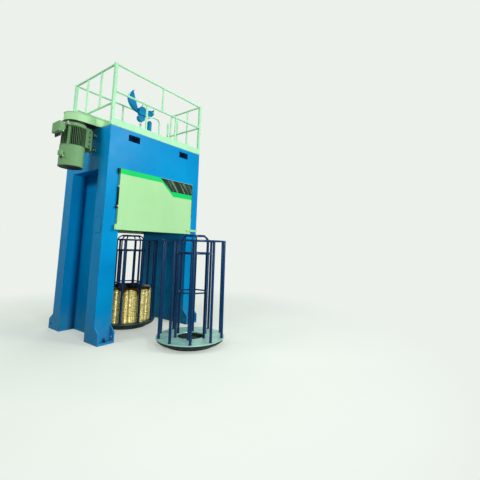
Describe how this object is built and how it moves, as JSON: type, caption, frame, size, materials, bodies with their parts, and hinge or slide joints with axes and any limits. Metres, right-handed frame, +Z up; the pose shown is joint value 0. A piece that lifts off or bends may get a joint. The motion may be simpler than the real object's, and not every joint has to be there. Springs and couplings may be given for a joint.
{
  "type": "wire drawing line portal coiler",
  "caption": "Tall portal coiler of a wire drawing line: railed deck, side motor with belt guard, wire guide hood, front guard, and turning basket carriers for wire, one with a copper coil.",
  "frame": {"origin": "on the floor, under the axis of the coiling block, which is the middle of the loaded carrier's base", "axes": "+X to the right as seen from the front, +Y from the front to the back of the portal, +Z up along the block's axis"},
  "size_m": [3, 3.135, 4.7904],
  "materials": {
    "frame_blue": "satin blue machine paint, scuffed at the feet",
    "deck_steel": "painted chequer plate, worn where it is walked on",
    "rail_mint": "pale paint with small chips at the joints",
    "guard_mint": "pale satin sheet-metal paint",
    "band_green": "bright green paint band",
    "window_tint": "tinted safety glazing",
    "motor_green": "grey-green motor enamel with dust in the fins",
    "housing_dark": "dark cast housing, oily",
    "block_steel": "ground and polished by the wire",
    "hood_blue": "blue enamel, worn pale on the rim",
    "roller_steel": "hard steel, polished by the wire",
    "cage_navy": "dark blue enamel, rubbed by the wire",
    "disc_steel": "brushed plate with circular scratches",
    "copper_wire": "bright drawn copper, shiny"
  },
  "bodies": {
    "portal": {"columns": "frame_blue", "column_feet": "frame_blue", "side_webs": "frame_blue", "front_beam": "frame_blue", "portal_beams": "frame_blue", "cross_beams": "frame_blue", "deck_plate": "deck_steel", "toe_boards": "rail_mint", "railing_posts": "rail_mint", "handrails": "rail_mint", "ladder_stiles": "rail_mint", "ladder_rungs": "rail_mint", "ladder_brackets": "rail_mint", "guard_panel": "guard_mint", "guard_band": "band_green", "guard_window": "window_tint", "guard_sill": "guard_mint", "rear_guard": "guard_mint", "belt_guard": "guard_mint", "motor_body": "motor_green", "motor_cowl": "motor_green", "motor_terminal_box": "motor_green", "motor_bracket": "motor_green", "spindle_housing": "housing_dark", "coiling_block": "block_steel", "guide_post": "rail_mint", "guide_hood": "hood_blue", "side_post": "hood_blue", "station_bases": "housing_dark"},
    "loaded_carrier": {"inner_turntable": "housing_dark", "inner_disc": "disc_steel", "inner_cage": "cage_navy", "inner_cage_ring": "cage_navy", "inner_stem_bars": "cage_navy", "inner_stem_links": "cage_navy", "inner_dome": "cage_navy", "copper_coil": "copper_wire"},
    "empty_carrier": {"outer_turntable": "housing_dark", "outer_disc": "disc_steel", "outer_cage": "cage_navy", "outer_cage_ring": "cage_navy", "outer_stem_bars": "cage_navy", "outer_stem_links": "cage_navy", "outer_dome": "cage_navy"},
    "roller": {"guide_roller": "roller_steel"}
  },
  "joints": [
    {"name": "loaded_carrier_turn", "type": "hinge", "parent": "portal", "child": "loaded_carrier", "pos_m": [0, 0, 0], "axis": [0, 0, 1], "continuous": true},
    {"name": "empty_carrier_turn", "type": "hinge", "parent": "portal", "child": "empty_carrier", "pos_m": [0, -1.79, 0], "axis": [0, 0, 1], "continuous": true},
    {"name": "guide_roller_turn", "type": "hinge", "parent": "portal", "child": "roller", "pos_m": [0.06, -0.01167, 4.49408], "axis": [0, -0.9877, 0.1564], "continuous": true}
  ]
}
